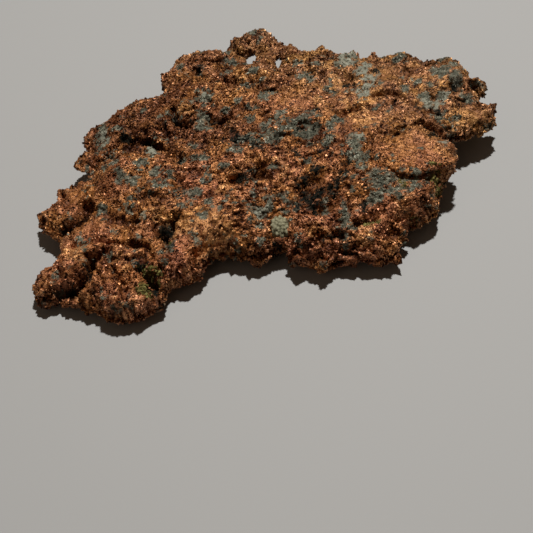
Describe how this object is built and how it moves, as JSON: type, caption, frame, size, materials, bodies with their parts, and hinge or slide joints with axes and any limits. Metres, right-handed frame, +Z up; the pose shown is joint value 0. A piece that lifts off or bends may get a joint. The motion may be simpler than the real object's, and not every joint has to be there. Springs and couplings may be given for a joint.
{
  "type": "native copper nugget",
  "caption": "Flat, ragged nugget of native copper with crystalline lobes, hollows and green tarnish, lying on its underside.",
  "frame": {"origin": "middle of the footprint, on the surface that the nugget rests on", "axes": "+X along the longest extent towards the right tip, +Y away from the broad front, +Z up through the thin direction"},
  "size_m": [0.098, 0.0838, 0.0158],
  "materials": {
    "native_copper": "rough crystalline copper with brown and green tarnish",
    "green_crust": "matt grey-green mineral crust"
  },
  "bodies": {
    "root": {"native_copper_nugget": "native_copper"}
  },
  "joints": []
}
